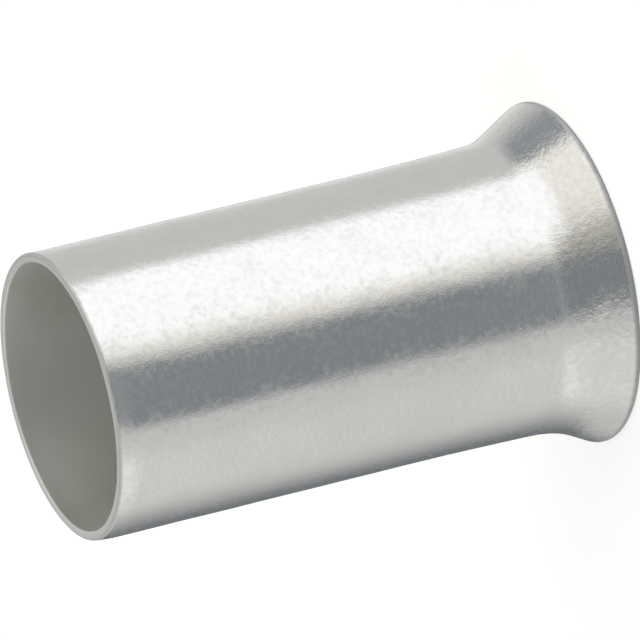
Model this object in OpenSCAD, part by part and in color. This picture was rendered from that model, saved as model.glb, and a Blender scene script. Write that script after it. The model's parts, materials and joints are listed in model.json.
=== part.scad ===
// Bare wire ferrule: a plated copper end sleeve for a stranded conductor.
// One drawn tube, cut square at one end and flared into a funnel at the other.
// The part stands on the funnel's lip, with its axis along +Z and the plain end up.

/* [Barrel] */
// Diameter of the bore that takes the stranded conductor
bore_d = 5.8; // [5.4:0.05:6]
// Thickness of the tube wall
wall = 0.2; // [0.13:0.01:0.3]
// Length over all, from the lip of the funnel to the plain end
length = 11.75; // [6:0.05:25]

/* [Funnel] */
// Outer diameter over the lip of the funnel
lip_d = 7.4; // [7.3:0.05:9]
// Slope of the funnel wall from the axis, in degrees
funnel_angle = 28; // [20:1:30]
// Radius of the bend between barrel and funnel, on the outside
throat_r = 1.5; // [0.4:0.1:2.2]

/* [Edges] */
// Width of the flat ring pressed into the lip, on which the part stands
land_w = 0.1; // [0.04:0.01:0.12]
// Radius that breaks both edges of the plain end
edge_r = 0.04; // [0.01:0.01:0.06]

/* [Hidden] */
$fn = 96;

// Radii of the barrel's two surfaces, from the axis
bore_r = bore_d / 2;
barrel_r = bore_r + wall;

// The lip is as round as the wall is thick, and stands on its flat ring
lip_r = wall / 2;
lip_centre_r = lip_d / 2 - lip_r;
lip_centre_z = sqrt(pow(lip_r, 2) - pow(land_w / 2, 2));

// The bend turns about a centre outside the barrel, and keeps the wall's thickness
bend_centre_r = barrel_r + throat_r;
bend_inner_r = throat_r + wall;
bend_mid_r = throat_r + lip_r;

// The straight wall of the funnel runs from the end of the bend to the lip's centre
funnel_start_r = bend_centre_r - bend_mid_r * cos(funnel_angle);
funnel_run = (lip_centre_r - funnel_start_r) / sin(funnel_angle);
bend_centre_z = lip_centre_z + funnel_run * cos(funnel_angle) + bend_mid_r * sin(funnel_angle);

// Where the barrel's straight wall gives way to the rounded edges of the plain end
straight_z = length - edge_r;
// Longer than anything in the section, for the shapes that cut it
reach = length + lip_d;
// The funnel's wall sets out this much inside the bend's disc, so that the two cross
// at one clean edge and do not just touch
join = 0.00002;

// Places a shape in the funnel's own frame: origin at the bend's centre, -Y down its wall
module along_funnel() {
    translate([bend_centre_r, bend_centre_z])
        rotate(funnel_angle)
            translate([join, 0])
                children();
}

// Everything on the outer side of the surface that lies r from the bend's centre:
// the bend's own disc, the space beside the barrel and the space beside the funnel
module outer_side(r) {
    translate([bend_centre_r, bend_centre_z]) {
        circle(r = r);
        translate([-r, 0])
            square(reach);
    }
    along_funnel()
        translate([-r, -reach])
            square(reach);
}

// The wall lies between its two surfaces, from the lip's centre to the plain end's edges
module wall_section() {
    intersection() {
        difference() {
            outer_side(bend_inner_r);
            outer_side(throat_r);
        }
        along_funnel()
            translate([-reach, -funnel_run])
                square(2 * reach);
        square([reach, straight_z]);
    }
}

// Round lip, pressed flat where it stands
module lip_section() {
    difference() {
        along_funnel()
            translate([-bend_mid_r, -funnel_run])
                circle(r = lip_r);
        translate([0, -wall])
            square([lip_d, wall]);
    }
}

// Square-cut end of the wall, with both of its edges rounded
module plain_end_section() {
    translate([bore_r + edge_r, straight_z - edge_r])
        square([wall - 2 * edge_r, 2 * edge_r]);
    for (edge_centre_r = [bore_r + edge_r, barrel_r - edge_r])
        translate([edge_centre_r, straight_z])
            circle(r = edge_r);
}

module sleeve() {
    color("gainsboro")
        rotate_extrude() {
            wall_section();
            lip_section();
            plain_end_section();
        }
}

sleeve();
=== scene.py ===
"""A bare wire ferrule: one tin-plated copper sleeve, a thin straight tube with a funnel mouth.

The sleeve stands on its funnel's lip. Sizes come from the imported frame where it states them.
"""

import json
import math
from typing import NamedTuple

import bmesh
import bpy
from bpy.props import FloatProperty, FloatVectorProperty, IntProperty, PointerProperty
from mathutils import Matrix, Vector, noise


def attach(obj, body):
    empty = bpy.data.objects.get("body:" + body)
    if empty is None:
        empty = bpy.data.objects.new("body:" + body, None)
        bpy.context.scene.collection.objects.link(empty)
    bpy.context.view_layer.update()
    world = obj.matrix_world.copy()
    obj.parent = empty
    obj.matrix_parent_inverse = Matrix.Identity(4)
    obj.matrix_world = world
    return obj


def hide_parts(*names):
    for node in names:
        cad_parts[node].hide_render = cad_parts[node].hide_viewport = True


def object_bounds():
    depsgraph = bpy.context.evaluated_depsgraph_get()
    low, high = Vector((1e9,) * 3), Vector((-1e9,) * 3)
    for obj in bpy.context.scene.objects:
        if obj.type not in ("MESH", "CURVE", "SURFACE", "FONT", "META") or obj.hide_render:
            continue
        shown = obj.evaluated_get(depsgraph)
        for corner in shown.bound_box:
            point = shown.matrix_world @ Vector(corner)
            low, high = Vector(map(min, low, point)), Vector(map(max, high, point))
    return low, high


bl_info = {
    "name": "Wire Ferrule",
    "version": (1, 0, 0),
    "blender": (4, 5, 0),
    "location": "View3D > Sidebar > Ferrule",
    "description": "Builds a bare wire ferrule and the studio it stands in",
    "category": "Add Mesh",
}

MM = 0.001

# Segments across each rounded corner of the wall's section.
EDGE_SEGMENTS = 8
INNER_EDGE_SEGMENTS = 4
BEND_SEGMENTS = 16

# Rings cut round the straight walls, in millimetres: how far apart they are, and how far from the
# bend and from the plain end each stretch of them begins and stops.
FUNNEL_SPACING = 0.05
FINE_SPACING = 0.06
BARREL_SPACING = 0.4
BEND_CLEARANCE = 0.05
BEND_REACH = 0.6
BARREL_START = 0.8
BARREL_STOP = 0.6
SHEAR_REACH = 0.5
RIM_CLEARANCE = 0.02

# Each of the lip's edges is rounded by this share of the wall, just under half of it.
LIP_SHARE = 0.49

# The unevenness: how many waves to a radian round the wall, and what share of that to a
# millimetre along it.
WAVES = 3.9
WAVES_ALONG = 0.25

# Where one colour and roughness give way to the next, in millimetres: outward from the bore's wall, up from
# the lip, down from the plain end, and inward from the barrel's outside, where the painted shade of the
# plain end's outer edge begins.
BORE_FADE = (0.05, 0.1)
LIP_FADE = (0.1, 0.17)
CUT_FADE = (0.08, 0.03)
RIM_FADE = (0.11, 0.04)

# The studio's sizes in metres, and how finely its tent is divided.
TENT_RADIUS = 0.5
TENT_SEGMENTS = 240
TENT_RINGS = 120
FLOOR_HALF_WIDTH = 1.5
GROUND_LIFT = 0.5

# The camera's aim, in millimetres from the plain end's centre: down its unrolled view, and towards +X.
AIM_DOWN = 5.6715
AIM_ASIDE = 0.3019
SENSOR_WIDTH = 36.0

# The range that the camera sees, in metres.
NEAREST = 0.01
FARTHEST = 10.0

# How often light may go from wall to wall, which the inside of the sleeve needs.
BOUNCES = 16

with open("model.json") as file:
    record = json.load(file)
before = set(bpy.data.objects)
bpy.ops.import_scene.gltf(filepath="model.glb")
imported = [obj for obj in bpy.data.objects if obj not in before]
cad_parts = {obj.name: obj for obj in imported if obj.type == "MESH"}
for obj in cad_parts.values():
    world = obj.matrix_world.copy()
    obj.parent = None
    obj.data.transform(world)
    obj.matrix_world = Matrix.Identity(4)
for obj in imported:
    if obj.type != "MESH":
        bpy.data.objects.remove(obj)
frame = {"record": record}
CAD_LOW, CAD_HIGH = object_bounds()
MOUNTS = {mount["name"]: mount for mount in frame["record"]["mounts"]}


# ---------------------------------------------------------------- settings

class FerruleSizes(bpy.types.PropertyGroup):
    """Sizes of the sleeve, and of what its making left on it."""

    bore_radius: FloatProperty(
        name="Bore Radius",
        description="Radius of the bore that takes the conductor",
        default=MOUNTS["wire_bore"]["dims"]["r_mm"] * MM,
        min=1.0 * MM,
        unit="LENGTH",
    )
    barrel_radius: FloatProperty(
        name="Barrel Radius",
        description="Outer radius of the straight barrel",
        default=MOUNTS["barrel"]["dims"]["r_mm"] * MM,
        min=1.1 * MM,
        unit="LENGTH",
    )
    length: FloatProperty(
        name="Length",
        description="From the funnel's lip to the plain end",
        default=CAD_HIGH.z,
        min=4.0 * MM,
        unit="LENGTH",
    )
    lip_radius: FloatProperty(
        name="Lip Radius",
        description="Outer radius over the funnel's lip",
        default=(CAD_HIGH.x - CAD_LOW.x) / 2,
        min=1.2 * MM,
        unit="LENGTH",
    )
    funnel_angle: FloatProperty(
        name="Funnel Angle",
        description="Slope of the funnel's wall from the axis",
        default=math.radians(28.0),
        min=math.radians(15.0),
        max=math.radians(35.0),
        subtype="ANGLE",
    )
    bend_radius: FloatProperty(
        name="Bend Radius",
        description="Radius of the bend between barrel and funnel, on the outside",
        default=1.5 * MM,
        min=0.3 * MM,
        unit="LENGTH",
    )
    land_width: FloatProperty(
        name="Land Width",
        description="Width of the flat ring pressed into the lip",
        default=0.1 * MM,
        min=0.0,
        unit="LENGTH",
    )
    edge_radius: FloatProperty(
        name="Edge Radius",
        description="Radius that breaks the plain end's inner edge",
        default=0.04 * MM,
        min=0.005 * MM,
        unit="LENGTH",
    )
    rim_radius: FloatProperty(
        name="Rim Radius",
        description="Radius that tumbling gave the plain end's outer edge",
        default=0.06 * MM,
        min=0.005 * MM,
        unit="LENGTH",
    )
    end_taper: FloatProperty(
        name="End Taper",
        description="How much shearing drew the plain end's wall in",
        default=0.010 * MM,
        min=0.0,
        unit="LENGTH",
    )
    end_offset: FloatProperty(
        name="End Offset",
        description="How far the shear pushed the plain end off the axis",
        default=0.03 * MM,
        min=0.0,
        unit="LENGTH",
    )
    end_slope: FloatProperty(
        name="End Slope",
        description="How far the plain end's cut is from square",
        default=math.radians(0.3),
        min=0.0,
        max=math.radians(1.0),
        subtype="ANGLE",
    )
    swell_height: FloatProperty(
        name="Swell Height",
        description="How much the barrel's radius grows before the bend",
        default=0.063 * MM,
        min=0.0,
        unit="LENGTH",
    )
    swell_length: FloatProperty(
        name="Swell Length",
        description="Length of barrel over which it grows",
        default=3.6 * MM,
        min=0.1 * MM,
        unit="LENGTH",
    )
    mouth_offset: FloatProperty(
        name="Mouth Offset",
        description="How far the flaring punch set the funnel off the axis",
        default=0.0755 * MM,
        min=0.0,
        max=0.12 * MM,
        unit="LENGTH",
    )
    bend_spread: FloatProperty(
        name="Bend Spread",
        description="How much tighter the bend is where the punch pressed harder, and gentler opposite",
        default=0.665 * MM,
        min=0.0,
        max=1.0 * MM,
        unit="LENGTH",
    )
    waviness: FloatProperty(
        name="Waviness",
        description="Depth of the soft unevenness that drawing and tumbling left in the wall",
        default=0.006 * MM,
        min=0.0,
        unit="LENGTH",
    )
    steps: IntProperty(
        name="Steps",
        description="Number of facets round the axis",
        default=320,
        min=48,
        max=512,
    )


class FerruleFinish(bpy.types.PropertyGroup):
    """Colour and surface of the tin plating."""

    tin_color: FloatVectorProperty(
        name="Tin",
        description="Colour of clean tin plating",
        default=(0.80, 0.797, 0.788),
        min=0.0,
        max=1.0,
        subtype="COLOR",
    )
    cloud_color: FloatVectorProperty(
        name="Cloud",
        description="Colour of the faint clouds where the plating has dulled",
        default=(0.74, 0.736, 0.722),
        min=0.0,
        max=1.0,
        subtype="COLOR",
    )
    # Painted light: the bore gets a paler colour than the outside tin, which brightens the inside of the
    # bore. Its duller plating is the bore's roughness.
    bore_plating_and_painted_light: FloatVectorProperty(
        name="Bore",
        description="Colour of the duller plating inside the bore",
        default=(0.83, 0.84, 0.81),
        min=0.0,
        max=1.0,
        subtype="COLOR",
    )
    cut_color: FloatVectorProperty(
        name="Cut Edge",
        description="Colour of the duller cut edge at the plain end",
        default=(0.84, 0.84, 0.83),
        min=0.0,
        max=1.0,
        subtype="COLOR",
    )
    # Painted shade: the plain end's outer edge gets a darker colour that stands in for the dark reflection
    # on its rounding.
    rim_color: FloatVectorProperty(
        name="Rim",
        description="Colour of the plain end's outer edge, where the shear dragged the plating",
        default=(0.67, 0.675, 0.67),
        min=0.0,
        max=1.0,
        subtype="COLOR",
    )
    # The lip's colour is darker than the tin.
    lip_color: FloatVectorProperty(
        name="Lip",
        description="Colour of the funnel's lip, where the die left the plating thin",
        default=(0.58, 0.585, 0.59),
        min=0.0,
        max=1.0,
        subtype="COLOR",
    )
    cut_roughness: FloatProperty(
        name="Cut Edge Roughness",
        description="Roughness of the plain end's cut edge",
        default=0.4,
        min=0.0,
        max=1.0,
    )
    lip_roughness: FloatProperty(
        name="Lip Roughness",
        description="Roughness of the funnel's lip",
        default=0.6,
        min=0.0,
        max=1.0,
    )
    dull_roughness: FloatProperty(
        name="Dull Roughness",
        description="How much rougher the plating's dull spots are",
        default=0.14,
        min=0.0,
        max=1.0,
    )
    roughness: FloatProperty(
        name="Roughness",
        description="Roughness of the plating between its grains",
        default=0.12,
        min=0.0,
        max=1.0,
    )
    bore_roughness: FloatProperty(
        name="Bore Roughness",
        description="Roughness of the duller plating inside the bore",
        default=0.5,
        min=0.0,
        max=1.0,
    )
    peel_height: FloatProperty(
        name="Orange Peel Height",
        description="Height of the coarser unevenness under the plating",
        default=0.0026 * MM,
        min=0.0,
        unit="LENGTH",
    )
    grain_height: FloatProperty(
        name="Grain Height",
        description="Height of the fine grain in the plating",
        default=0.0008 * MM,
        min=0.0,
        unit="LENGTH",
    )
    fine_height: FloatProperty(
        name="Fine Height",
        description="Height of the finest grain",
        default=0.0003 * MM,
        min=0.0,
        unit="LENGTH",
    )
    nodule_height: FloatProperty(
        name="Nodule Height",
        description="Height of the few small nodules of tin",
        default=0.0010 * MM,
        min=0.0,
        unit="LENGTH",
    )


class FerruleStudio(bpy.types.PropertyGroup):
    """Camera and light."""

    elevation: FloatProperty(
        name="Elevation",
        description="Height of the camera above the plain end's plane, as an angle",
        default=math.radians(19.855),
        subtype="ANGLE",
    )
    roll: FloatProperty(
        name="Roll",
        description="Turn of the camera about its own line of sight",
        default=math.radians(103.712),
        subtype="ANGLE",
    )
    distance: FloatProperty(
        name="Distance",
        description="From the camera to the plain end's centre",
        default=285.7 * MM,
        unit="LENGTH",
    )
    lens: FloatProperty(
        name="Lens",
        description="Focal length of the camera in millimetres",
        default=768.85,
        min=50.0,
        max=2000.0,
    )
    tent_level: FloatProperty(
        name="Tent",
        description="Brightness of the pale tent all round the sleeve",
        default=0.65,
        min=0.0,
    )
    key_level: FloatProperty(
        name="Softbox",
        description="Brightness of the softbox",
        default=1.26,
        min=0.0,
    )
    floor_color: FloatVectorProperty(
        name="Floor",
        description="Colour of the pale floor",
        default=(0.86, 0.86, 0.86),
        min=0.0,
        max=1.0,
        subtype="COLOR",
    )


# ---------------------------------------------------------------- sleeve

def section_corners(sizes):
    """Corners of the wall's section in millimetres, before its bends and edges are rounded."""
    bore = sizes.bore_radius / MM
    barrel = sizes.barrel_radius / MM
    length = sizes.length / MM
    bend = sizes.bend_radius / MM
    half_wall = (barrel - bore) / 2
    land = sizes.land_width / MM
    slope = sizes.funnel_angle
    down_wall = Vector((math.sin(slope), -math.cos(slope)))
    off_wall = Vector((math.cos(slope), math.sin(slope)))

    lip_centre = Vector((sizes.lip_radius / MM - half_wall, math.sqrt(half_wall**2 - (land / 2) ** 2)))
    bend_mid = bend + half_wall
    funnel_start = barrel + bend - bend_mid * math.cos(slope)
    funnel_run = (lip_centre.x - funnel_start) / math.sin(slope)
    bend_height = lip_centre.y + funnel_run * math.cos(slope) + bend_mid * math.sin(slope)

    turn = math.tan(slope / 2)
    lip_end = lip_centre + down_wall * half_wall
    return {
        "outer_top": Vector((barrel, length)),
        "outer_bend": Vector((barrel, bend_height - bend * turn)),
        "outer_lip": lip_end + off_wall * half_wall,
        "inner_lip": lip_end - off_wall * half_wall,
        "inner_bend": Vector((bore, bend_height - (bend + 2 * half_wall) * turn)),
        "inner_top": Vector((bore, length)),
    }, bend_height


def spin_section(corners, steps):
    """One full turn of the section about the axis, closed on itself."""
    bm = bmesh.new()
    verts = [bm.verts.new((corner.x, 0.0, corner.y)) for corner in corners.values()]
    edges = [bm.edges.new(pair) for pair in zip(verts, verts[1:] + verts[:1])]
    bmesh.ops.spin(
        bm,
        geom=verts + edges,
        cent=(0.0, 0.0, 0.0),
        axis=(0.0, 0.0, 1.0),
        dvec=(0.0, 0.0, 0.0),
        angle=math.tau,
        steps=steps,
        use_merge=True,
        use_duplicate=False,
    )
    bmesh.ops.recalc_face_normals(bm, faces=bm.faces)
    return bm


def round_ring(bm, corner, offset, segments):
    """Rounds the ring of edges that a corner of the section left."""
    near = 1e-3

    def on_ring(vert):
        return abs(math.hypot(vert.co.x, vert.co.y) - corner.x) < near and abs(vert.co.z - corner.y) < near

    ring = [edge for edge in bm.edges if on_ring(edge.verts[0]) and on_ring(edge.verts[1])]
    if not ring:
        raise RuntimeError("the section's corner has left no ring of edges")
    bmesh.ops.bevel(
        bm,
        geom=ring,
        offset=offset,
        offset_type="OFFSET",
        affect="EDGES",
        segments=segments,
        profile=0.5,
        material=-1,
        clamp_overlap=False,
    )


def cut_rings(bm, low, high, spacing):
    """Cuts rings round a straight wall, so that it can take its soft unevenness."""
    on_plane = 1e-5
    count = int((high - low) / spacing)
    for i in range(count + 1):
        height = low + (high - low) * i / count
        bmesh.ops.bisect_plane(
            bm,
            geom=bm.verts[:] + bm.edges[:] + bm.faces[:],
            dist=on_plane,
            plane_co=(0.0, 0.0, height),
            plane_no=(0.0, 0.0, 1.0),
        )


def outer_radius(height, barrel, corner, slope, bend):
    """Outside radius at a height: funnel, bend or barrel. Funnel and barrel would cross at the corner."""
    bend_top = corner + bend * math.tan(slope / 2)
    bend_foot = bend_top - bend * math.sin(slope)
    if height >= bend_top:
        return barrel
    if height <= bend_foot:
        return barrel + (corner - height) * math.tan(slope)
    return barrel + bend - math.sqrt(bend**2 - (bend_top - height) ** 2)


def shape_as_made(bm, sizes, bend_height):
    """Presses the lip flat, and gives the wall its swell, its set-off funnel and its unevenness."""
    slope = sizes.funnel_angle
    barrel = sizes.barrel_radius / MM
    bend = sizes.bend_radius / MM
    spread = sizes.bend_spread / MM
    swell = sizes.swell_height / MM
    swell_length = sizes.swell_length / MM
    offset = sizes.mouth_offset / MM
    waviness = sizes.waviness / MM
    length = sizes.length / MM
    end_taper = sizes.end_taper / MM
    end_offset = sizes.end_offset / MM
    end_slope = math.tan(sizes.end_slope)
    corner = bend_height - bend * math.tan(slope / 2)
    for vert in bm.verts:
        co = vert.co
        co.z = max(co.z, 0.0)
        radius = math.hypot(co.x, co.y)
        out = Vector((co.x / radius, co.y / radius, 0.0))
        moved = corner - (swell - offset * out.x) / math.tan(slope)
        grown = min(1.0, max(0.0, (moved + swell_length - co.z) / swell_length)) ** 2
        grow = outer_radius(co.z, barrel + swell, moved, slope, bend - spread * out.x)
        grow -= outer_radius(co.z, barrel, corner, slope, bend) + swell * (1.0 - grown)
        grow += waviness * noise.noise(Vector((out.x, out.y, co.z * WAVES_ALONG)) * WAVES)
        near_end = max(0.0, (co.z - length + SHEAR_REACH) / SHEAR_REACH)
        grow -= end_taper * near_end**2
        pushed = end_offset * near_end**2
        lifted = co.x * end_slope * near_end
        vert.co = co + out * grow + Vector((pushed, 0.0, lifted))


def build_sleeve(sizes):
    """The whole sleeve as one closed mesh, in metres."""
    corners, bend_height = section_corners(sizes)
    wall = (sizes.barrel_radius - sizes.bore_radius) / MM
    bend = sizes.bend_radius / MM
    rim = sizes.rim_radius / MM
    length = sizes.length / MM
    turn = math.tan(sizes.funnel_angle / 2)
    bend_foot = bend_height - bend * math.sin(sizes.funnel_angle)
    bm = spin_section(corners, sizes.steps)
    round_ring(bm, corners["outer_top"], rim, EDGE_SEGMENTS)
    round_ring(bm, corners["inner_top"], sizes.edge_radius / MM, INNER_EDGE_SEGMENTS)
    round_ring(bm, corners["outer_bend"], bend * turn, BEND_SEGMENTS)
    round_ring(bm, corners["inner_bend"], (bend + wall) * turn, BEND_SEGMENTS)
    round_ring(bm, corners["outer_lip"], LIP_SHARE * wall, EDGE_SEGMENTS)
    round_ring(bm, corners["inner_lip"], LIP_SHARE * wall, EDGE_SEGMENTS)
    cut_rings(bm, wall, bend_foot, FUNNEL_SPACING)
    cut_rings(bm, bend_height + BEND_CLEARANCE, bend_height + BEND_REACH, FINE_SPACING)
    cut_rings(bm, bend_height + BARREL_START, length - BARREL_STOP, BARREL_SPACING)
    cut_rings(bm, length - SHEAR_REACH, length - rim - RIM_CLEARANCE, FINE_SPACING)
    shape_as_made(bm, sizes, bend_height)
    bmesh.ops.scale(bm, vec=(MM, MM, MM), verts=bm.verts)
    bmesh.ops.recalc_face_normals(bm, faces=bm.faces)
    mesh = bpy.data.meshes.new("tinned_sleeve")
    bm.to_mesh(mesh)
    bm.free()
    mesh.shade_smooth()
    sleeve = bpy.data.objects.new("tinned_sleeve", mesh)
    bpy.context.scene.collection.objects.link(sleeve)
    weighted = sleeve.modifiers.new("even_shading", "WEIGHTED_NORMAL")
    weighted.mode = "FACE_AREA"
    return sleeve


# ---------------------------------------------------------------- finish

class NodeDesk:
    """Lays out one material's nodes and joins their sockets."""

    def __init__(self, material):
        material.use_nodes = True
        self.tree = material.node_tree
        self.tree.nodes.clear()

    def add(self, kind, label="", **settings):
        node = self.tree.nodes.new(kind)
        node.label = label
        for name, value in settings.items():
            setattr(node, name, value)
        node.location = (len(self.tree.nodes) * 180.0, 0.0)
        return node

    def join(self, source, target):
        self.tree.links.new(source, target)

    def noise(self, vector, label, scale, detail, roughness):
        node = self.add("ShaderNodeTexNoise", label)
        node.inputs["Scale"].default_value = scale
        node.inputs["Detail"].default_value = detail
        node.inputs["Roughness"].default_value = roughness
        self.join(vector, node.inputs["Vector"])
        return node.outputs["Fac"]

    def remap(self, value, given, wanted, label):
        """Takes a value smoothly from one range, given as two ends, to another."""
        node = self.add("ShaderNodeMapRange", label, interpolation_type="SMOOTHSTEP")
        node.inputs["From Min"].default_value = given[0]
        node.inputs["From Max"].default_value = given[1]
        node.inputs["To Min"].default_value = wanted[0]
        node.inputs["To Max"].default_value = wanted[1]
        self.join(value, node.inputs["Value"])
        return node.outputs["Result"]

    def blend(self, factor, first, second, label):
        """Goes from the first colour to the second, each a colour or a socket, by the factor."""
        node = self.add("ShaderNodeMix", label, data_type="RGBA")
        self.join(factor, node.inputs["Factor"])
        for name, value in (("A", first), ("B", second)):
            socket = [s for s in node.inputs if s.name == name and s.type == "RGBA"][0]
            if isinstance(value, bpy.types.NodeSocket):
                self.join(value, socket)
            else:
                socket.default_value = (*value, 1.0)
        return [s for s in node.outputs if s.type == "RGBA"][0]

    def math(self, operation, first, second, label):
        node = self.add("ShaderNodeMath", label, operation=operation)
        for socket, value in zip(node.inputs, (first, second)):
            if isinstance(value, bpy.types.NodeSocket):
                self.join(value, socket)
            else:
                socket.default_value = value
        return node.outputs["Value"]

    def nodules(self, vector, label, scale, radius, share):
        """Small round humps at a share of a scatter of points, one unit high."""
        node = self.add("ShaderNodeTexVoronoi", label)
        node.inputs["Scale"].default_value = scale
        self.join(vector, node.inputs["Vector"])
        hump = self.remap(node.outputs["Distance"], (0.0, radius), (1.0, 0.0), "Hump")
        chance = self.add("ShaderNodeSeparateColor", "Chance")
        self.join(node.outputs["Color"], chance.inputs["Color"])
        here = self.math("LESS_THAN", chance.outputs["Red"], share, "Here or not")
        return self.math("MULTIPLY", hump, here, "Some of the humps")

    def bump(self, height, depth, below, label):
        node = self.add("ShaderNodeBump", label)
        node.inputs["Strength"].default_value = 1.0
        node.inputs["Distance"].default_value = depth
        self.join(height, node.inputs["Height"])
        if below is not None:
            self.join(below, node.inputs["Normal"])
        return node.outputs["Normal"]


def tinned_copper(finish, sizes):
    """Satin tin plating: bright outside, with a fine grain and faint dull clouds, and dull in the bore,
    where a paler colour is painted light; the plain end's outer edge has painted shade.
    """
    material = bpy.data.materials.new("tinned_copper")
    desk = NodeDesk(material)
    place = desk.add("ShaderNodeTexCoord", "Place on the piece")
    to_mm = desk.add("ShaderNodeMapping", "Millimetres")
    to_mm.inputs["Scale"].default_value = (1 / MM, 1 / MM, 1 / MM)
    desk.join(place.outputs["Object"], to_mm.inputs["Vector"])
    spot = to_mm.outputs["Vector"]
    across = desk.add("ShaderNodeVectorMath", "Flattened along the axis", operation="MULTIPLY")
    across.inputs[1].default_value = (1.0, 1.0, 0.0)
    desk.join(spot, across.inputs[0])
    from_axis = desk.add("ShaderNodeVectorMath", "From the axis", operation="LENGTH")
    desk.join(across.outputs["Vector"], from_axis.inputs[0])
    radius = from_axis.outputs["Value"]
    up_sleeve = desk.add("ShaderNodeSeparateXYZ", "Up the sleeve")
    desk.join(spot, up_sleeve.inputs["Vector"])
    height = up_sleeve.outputs["Z"]

    off_bore = [sizes.bore_radius / MM + step for step in BORE_FADE]
    below_cut = [sizes.length / MM - step for step in CUT_FADE]
    within_rim = [sizes.barrel_radius / MM - step for step in RIM_FADE]
    # The bore: duller plating, and a paler colour that paints light into it.
    inside = desk.remap(radius, off_bore, (1.0, 0.0), "In the bore")
    lip = desk.remap(height, LIP_FADE, (1.0, 0.0), "The lip")
    cut = desk.remap(height, below_cut, (0.0, 1.0), "The plain end's cut")
    far_out = desk.remap(radius, within_rim, (0.0, 1.0), "Far out")
    # Mask for the painted shade on the plain end's outer edge.
    rim = desk.math("MULTIPLY", far_out, cut, "The plain end's outer edge")

    clouds = desk.noise(spot, "Clouds", scale=1.2, detail=4.0, roughness=0.6)
    mottle = desk.noise(spot, "Mottle", scale=7.5, detail=2.0, roughness=0.5)
    peel = desk.noise(spot, "Orange peel", scale=7.0, detail=2.0, roughness=0.5)
    fleck = desk.noise(spot, "Flecks", scale=17.0, detail=3.0, roughness=0.6)
    grain = desk.noise(spot, "Grain", scale=28.0, detail=2.0, roughness=0.5)
    fine = desk.noise(spot, "Fine grain", scale=60.0, detail=1.0, roughness=0.5)

    cloudy = desk.remap(clouds, (0.42, 0.7), (0.0, 0.5), "Where it is dull")
    spotted = desk.remap(mottle, (0.35, 0.65), (0.0, 0.5), "Spots")
    flecked = desk.remap(fleck, (0.35, 0.65), (0.0, 0.2), "Finer spots")
    spots = desk.math("ADD", spotted, flecked, "All spots")
    worked = desk.remap(height, (0.8, 1.5), (1.8, 0.6), "Blotchier on the funnel")
    dulled = desk.math("MULTIPLY", desk.math("ADD", cloudy, spots, "Clouds and spots"), worked, "Dulled")
    tin = desk.blend(dulled, finish.tin_color, finish.cloud_color, "Tin and clouds")
    # Painted light in the bore: a paler colour than the outside tin.
    outer = desk.blend(inside, tin, finish.bore_plating_and_painted_light, "Bore or outside")
    ended = desk.blend(cut, outer, finish.cut_color, "Or the plain end's cut")
    # Painted shade: the plain end's outer edge turns darker.
    edged = desk.blend(rim, ended, finish.rim_color, "Or its outer edge")
    # Darker at the lip.
    color = desk.blend(lip, edged, finish.lip_color, "Or the lip")

    satin_range = (finish.roughness - 0.02, finish.roughness + 0.05)
    satin = desk.remap(clouds, (0.3, 0.75), satin_range, "Satin")
    specks = desk.remap(mottle, (0.4, 0.7), (0.0, finish.dull_roughness), "Dull spots")
    even = desk.remap(inside, (0.0, 1.0), (1.0, 0.3), "More even in the bore")
    fainter = desk.math("MULTIPLY", specks, even, "Dull spots, fainter in the bore")
    spotty = desk.math("ADD", satin, fainter, "Satin with its spots")
    duller = desk.math("MULTIPLY", inside, finish.bore_roughness - finish.roughness, "Duller in the bore")
    sheared = desk.math("MULTIPLY", cut, finish.cut_roughness - finish.roughness, "Rougher at the cut")
    burred = desk.math("MULTIPLY", lip, finish.lip_roughness - finish.roughness, "Rougher at the lip")
    ends = desk.math("MAXIMUM", sheared, burred, "Either end")
    added = desk.math("MAXIMUM", duller, ends, "Bore or ends")
    rough = desk.math("ADD", spotty, added, "All of them")

    stretched = desk.remap(height, (0.9, 2.1), (1.9, 1.0), "Coarser where it was stretched")
    coarse = desk.math("MULTIPLY", grain, stretched, "Grain, coarser on the funnel")
    nodules = desk.nodules(spot, "Nodules", scale=17.0, radius=0.42, share=0.5)
    bumps = desk.math("MULTIPLY", nodules, stretched, "Nodules, coarser on the funnel")
    pulled = desk.remap(height, (0.9, 1.9), (3.2, 1.0), "Wavier where it was stretched")
    wavy = desk.math("MULTIPLY", peel, pulled, "Orange peel, coarser on the funnel")
    peeled = desk.math("MULTIPLY", wavy, even, "Orange peel, fainter in the bore")
    relief = desk.bump(peeled, finish.peel_height, None, "Orange peel relief")
    relief = desk.bump(coarse, finish.grain_height, relief, "Grain relief")
    relief = desk.bump(fine, finish.fine_height, relief, "Fine relief")
    relief = desk.bump(bumps, finish.nodule_height, relief, "Nodules of tin")

    metal = desk.add("ShaderNodeBsdfPrincipled", "Tin")
    metal.inputs["Metallic"].default_value = 1.0
    desk.join(color, metal.inputs["Base Color"])
    desk.join(rough, metal.inputs["Roughness"])
    desk.join(relief, metal.inputs["Normal"])
    out = desk.add("ShaderNodeOutputMaterial", "Surface")
    desk.join(metal.outputs["BSDF"], out.inputs["Surface"])
    return material


# ---------------------------------------------------------------- studio

class Card(NamedTuple):
    """A soft card or softbox of the tent, between two azimuths and two elevations in degrees.

    Each of its edges fades into what lies behind it, over its own width in degrees.
    """

    name: str
    azimuths: tuple
    elevations: tuple
    level: float
    color: tuple
    azimuth_fades: tuple
    elevation_fades: tuple = (8.0, 8.0)


NEUTRAL = (1.0, 1.0, 1.0)
PAPER = (1.0, 0.995, 0.975)
WARM = (1.0, 0.975, 0.88)
COOL = (0.87, 0.945, 1.0)
SOFTBOX = (0.985, 0.99, 1.0)


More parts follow.
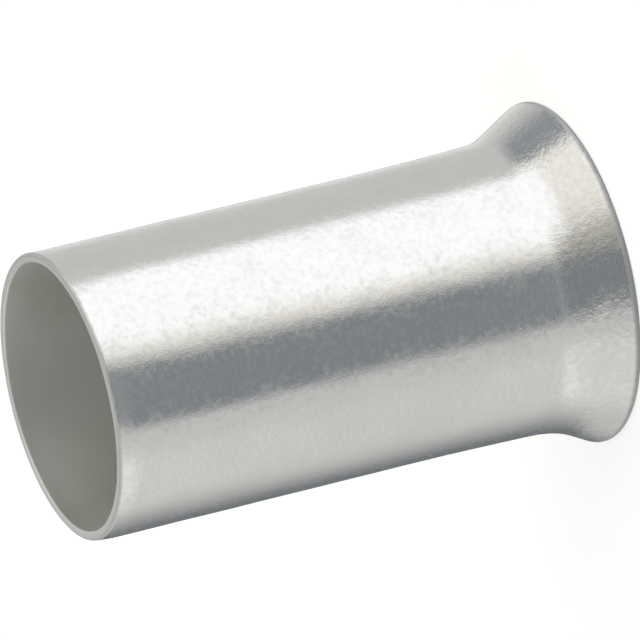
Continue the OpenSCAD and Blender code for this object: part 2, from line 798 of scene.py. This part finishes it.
def tent_cards(key_level):
    """The tent's cards, from the back one to the front one."""
    return (
        Card("back", (142.0, 218.0), (-60.0, 10.0), 0.90, NEUTRAL, (34.0, 34.0)),
        Card("far_shade", (-192.0, -132.0), (0.0, 90.0), 0.46, PAPER, (16.0, 16.0), (12.0, 30.0)),
        Card("fill", (-124.0, -46.0), (-22.0, 64.0), 0.80, PAPER, (22.0, 14.0), (10.0, 28.0)),
        Card("fill_core", (-112.0, -56.0), (-21.5, 2.0), 0.92, PAPER, (18.0, 14.0), (10.0, 12.0)),
        Card("under_gap", (-190.0, -106.0), (-60.0, 3.0), 0.20, COOL, (4.0, 54.0), (8.0, 18.0)),
        Card("side_gap", (91.0, 146.0), (-21.0, 28.0), 0.35, COOL, (6.0, 30.0), (26.0, 16.0)),
        Card("low_gap", (-180.0, 180.0), (-100.0, -26.0), 0.42, NEUTRAL, (0.0, 0.0), (0.0, 14.0)),
        Card("softbox_top", (22.0, 100.0), (-18.0, 90.0), 0.97, WARM, (16.0, 7.0), (10.0, 8.0)),
        Card("softbox_rim", (4.0, 36.0), (-34.0, 20.0), 0.94, WARM, (26.0, 6.0), (8.0, 14.0)),
        Card("softbox", (16.0, 96.0), (-34.0, 35.0), key_level, SOFTBOX, (20.0, 10.0), (8.0, 30.0)),
        Card("rim_shade", (-20.0, 44.0), (-14.0, 90.0), 0.46, WARM, (8.0, 30.0), (22.0, 8.0)),
        Card("camera_gap", (-38.5, 18.0), (-16.0, 60.0), 0.275, COOL, (12.0, 12.0)),
        Card("camera_gap_low", (-43.0, 18.0), (-90.0, -8.0), 0.275, COOL, (12.0, 12.0), (8.0, 10.0)),
    )


def faded(value, low, high, fades):
    """One between low and high, and less towards each of them over the width of its fade."""
    weight = 1.0
    for depth, fade in ((value - low, fades[0]), (high - value, fades[1])):
        if depth <= 0.0:
            return 0.0
        if depth < fade:
            part = depth / fade
            weight *= part * part * (3.0 - 2.0 * part)
    return weight


def tent_color(place, tent_level, cards):
    """What the tent shows in one direction. Azimuth runs from the camera's side towards +X."""
    azimuth = math.degrees(math.atan2(place.x, -place.y))
    elevation = math.degrees(math.asin(max(-1.0, min(1.0, place.z / place.length))))
    color = Vector(PAPER) * tent_level
    for card in cards:
        middle = (card.azimuths[0] + card.azimuths[1]) / 2
        turned = middle + (azimuth - middle + 180.0) % 360.0 - 180.0
        weight = faded(turned, *card.azimuths, card.azimuth_fades)
        weight *= faded(elevation, *card.elevations, card.elevation_fades)
        color = color.lerp(Vector(card.color) * card.level, weight)
    return (*color, 1.0)


def add_tent(studio):
    """The pale tent all round the sleeve, with its softbox and cards. It is all the light there is."""
    bm = bmesh.new()
    glow = bm.verts.layers.float_color.new("glow")
    bmesh.ops.create_uvsphere(bm, u_segments=TENT_SEGMENTS, v_segments=TENT_RINGS, radius=TENT_RADIUS)
    cards = tent_cards(studio.key_level)
    for vert in bm.verts:
        vert[glow] = tent_color(vert.co, studio.tent_level, cards)
    mesh = bpy.data.meshes.new("tent")
    bm.to_mesh(mesh)
    bm.free()
    material = bpy.data.materials.new("tent_light")
    desk = NodeDesk(material)
    shown = desk.add("ShaderNodeAttribute", "Cards", attribute_name="glow")
    light = desk.add("ShaderNodeEmission", "Glow")
    desk.join(shown.outputs["Color"], light.inputs["Color"])
    out = desk.add("ShaderNodeOutputMaterial", "Surface")
    desk.join(light.outputs["Emission"], out.inputs["Surface"])
    material.cycles.emission_sampling = "NONE"
    mesh.materials.append(material)
    tent = bpy.data.objects.new("tent", mesh)
    bpy.context.scene.collection.objects.link(tent)
    tent.visible_camera = False


def seen_as_white(desk):
    """Light paths that see the plain white ground: the camera's, and those that metal or glass sends on."""
    path = desk.add("ShaderNodeLightPath", "Who looks")
    either = desk.math("MAXIMUM", path.outputs["Is Camera Ray"], path.outputs["Is Glossy Ray"], "Or metal")
    return desk.math("MAXIMUM", either, path.outputs["Is Transmission Ray"], "Or glass")


def add_floor(studio):
    """The pale floor. It keeps the sleeve's shadow, and the metal looks past it into the tent."""
    bm = bmesh.new()
    bmesh.ops.create_grid(bm, x_segments=1, y_segments=1, size=FLOOR_HALF_WIDTH)
    mesh = bpy.data.meshes.new("floor")
    bm.to_mesh(mesh)
    bm.free()
    material = bpy.data.materials.new("floor")
    desk = NodeDesk(material)
    paint = desk.add("ShaderNodeBsdfDiffuse", "Matt paint")
    paint.inputs["Color"].default_value = (*studio.floor_color, 1.0)
    seen = seen_as_white(desk)
    lift = desk.add("ShaderNodeEmission", "White ground")
    lift.inputs["Color"].default_value = (1.0, 1.0, 1.0, 1.0)
    strength = desk.math("MULTIPLY", seen, GROUND_LIFT, "Lift")
    desk.join(strength, lift.inputs["Strength"])
    both = desk.add("ShaderNodeAddShader", "Together")
    desk.join(paint.outputs["BSDF"], both.inputs[0])
    desk.join(lift.outputs["Emission"], both.inputs[1])
    out = desk.add("ShaderNodeOutputMaterial", "Surface")
    desk.join(both.outputs["Shader"], out.inputs["Surface"])
    mesh.materials.append(material)
    floor = bpy.data.objects.new("floor", mesh)
    bpy.context.scene.collection.objects.link(floor)
    floor.visible_glossy = False
    floor.visible_shadow = False


def add_world(studio):
    """Plain white wherever the view goes past the floor. The tent stands between it and the sleeve."""
    world = bpy.data.worlds.new("white_ground")
    bpy.context.scene.world = world
    desk = NodeDesk(world)
    seen = seen_as_white(desk)
    beyond = desk.add("ShaderNodeBackground", "Beyond the tent")
    beyond.inputs["Color"].default_value = (1.0, 1.0, 1.0, 1.0)
    beyond.inputs["Strength"].default_value = studio.tent_level
    ground = desk.add("ShaderNodeBackground", "White ground")
    ground.inputs["Color"].default_value = (1.0, 1.0, 1.0, 1.0)
    ground.inputs["Strength"].default_value = 1.0
    pick = desk.add("ShaderNodeMixShader", "White or light")
    desk.join(seen, pick.inputs["Fac"])
    desk.join(beyond.outputs["Background"], pick.inputs[1])
    desk.join(ground.outputs["Background"], pick.inputs[2])
    out = desk.add("ShaderNodeOutputWorld", "World")
    desk.join(pick.outputs["Shader"], out.inputs["Surface"])


def add_camera(studio, length):
    """Looks down on the plain end and is rolled over, so that the standing sleeve lies across the view."""
    rise = math.sin(studio.elevation)
    run = math.cos(studio.elevation)
    sight = Vector((0.0, run, -rise))
    down_view = Vector((0.0, -rise, -run))
    plain_end = Vector((0.0, 0.0, length))
    place = plain_end - sight * studio.distance
    aim = plain_end + down_view * AIM_DOWN * MM + Vector((AIM_ASIDE * MM, 0.0, 0.0))
    back = (place - aim).normalized()
    turn = studio.roll - math.pi / 2
    right = down_view * math.cos(turn) + Vector((-1.0, 0.0, 0.0)) * math.sin(turn)
    right = (right - back * right.dot(back)).normalized()
    up = back.cross(right)
    lens = bpy.data.cameras.new("camera")
    lens.lens = studio.lens
    lens.sensor_width = SENSOR_WIDTH
    lens.clip_start = NEAREST
    lens.clip_end = FARTHEST
    camera = bpy.data.objects.new("camera", lens)
    camera.matrix_world = Matrix.Translation(place) @ Matrix((right, up, back)).transposed().to_4x4()
    bpy.context.scene.collection.objects.link(camera)
    bpy.context.scene.camera = camera


# ---------------------------------------------------------------- add-on

class FERRULE_OT_sleeve(bpy.types.Operator):
    """Model the sleeve with its funnel mouth and give it its tin plating"""

    bl_idname = "ferrule.sleeve"
    bl_label = "Tinned Sleeve"

    def execute(self, context):
        scene = context.scene
        sleeve = build_sleeve(scene.ferrule_sizes)
        sleeve.data.materials.append(tinned_copper(scene.ferrule_finish, scene.ferrule_sizes))
        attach(sleeve, "root")
        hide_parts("sleeve")
        return {"FINISHED"}


class FERRULE_OT_stage(bpy.types.Operator):
    """Set the pale floor, the tent with its softbox and cards, and the camera"""

    bl_idname = "ferrule.stage"
    bl_label = "Studio"

    def execute(self, context):
        scene = context.scene
        studio = scene.ferrule_studio
        add_floor(studio)
        add_tent(studio)
        add_world(studio)
        add_camera(studio, scene.ferrule_sizes.length)
        scene.view_settings.view_transform = "Standard"
        scene.cycles.max_bounces = BOUNCES
        scene.cycles.glossy_bounces = BOUNCES
        return {"FINISHED"}


class FERRULE_PT_panel(bpy.types.Panel):
    """Lists the steps that build the ferrule"""

    bl_idname = "FERRULE_PT_panel"
    bl_label = "Wire Ferrule"
    bl_space_type = "VIEW_3D"
    bl_region_type = "UI"
    bl_category = "Ferrule"

    def draw(self, context):
        column = self.layout.column()
        for step in (FERRULE_OT_sleeve, FERRULE_OT_stage):
            column.operator(step.bl_idname)
        scene = context.scene
        for group in (scene.ferrule_sizes, scene.ferrule_finish, scene.ferrule_studio):
            for name in group.__annotations__:
                column.prop(group, name)


CLASSES = (
    FerruleSizes,
    FerruleFinish,
    FerruleStudio,
    FERRULE_OT_sleeve,
    FERRULE_OT_stage,
    FERRULE_PT_panel,
)


def register():
    for cls in CLASSES:
        bpy.utils.register_class(cls)
    bpy.types.Scene.ferrule_sizes = PointerProperty(type=FerruleSizes)
    bpy.types.Scene.ferrule_finish = PointerProperty(type=FerruleFinish)
    bpy.types.Scene.ferrule_studio = PointerProperty(type=FerruleStudio)


def unregister():
    del bpy.types.Scene.ferrule_studio
    del bpy.types.Scene.ferrule_finish
    del bpy.types.Scene.ferrule_sizes
    for cls in reversed(CLASSES):
        bpy.utils.unregister_class(cls)


def main():
    register()
    bpy.ops.ferrule.sleeve()
    bpy.ops.ferrule.stage()


if __name__ == "__main__":
    main()
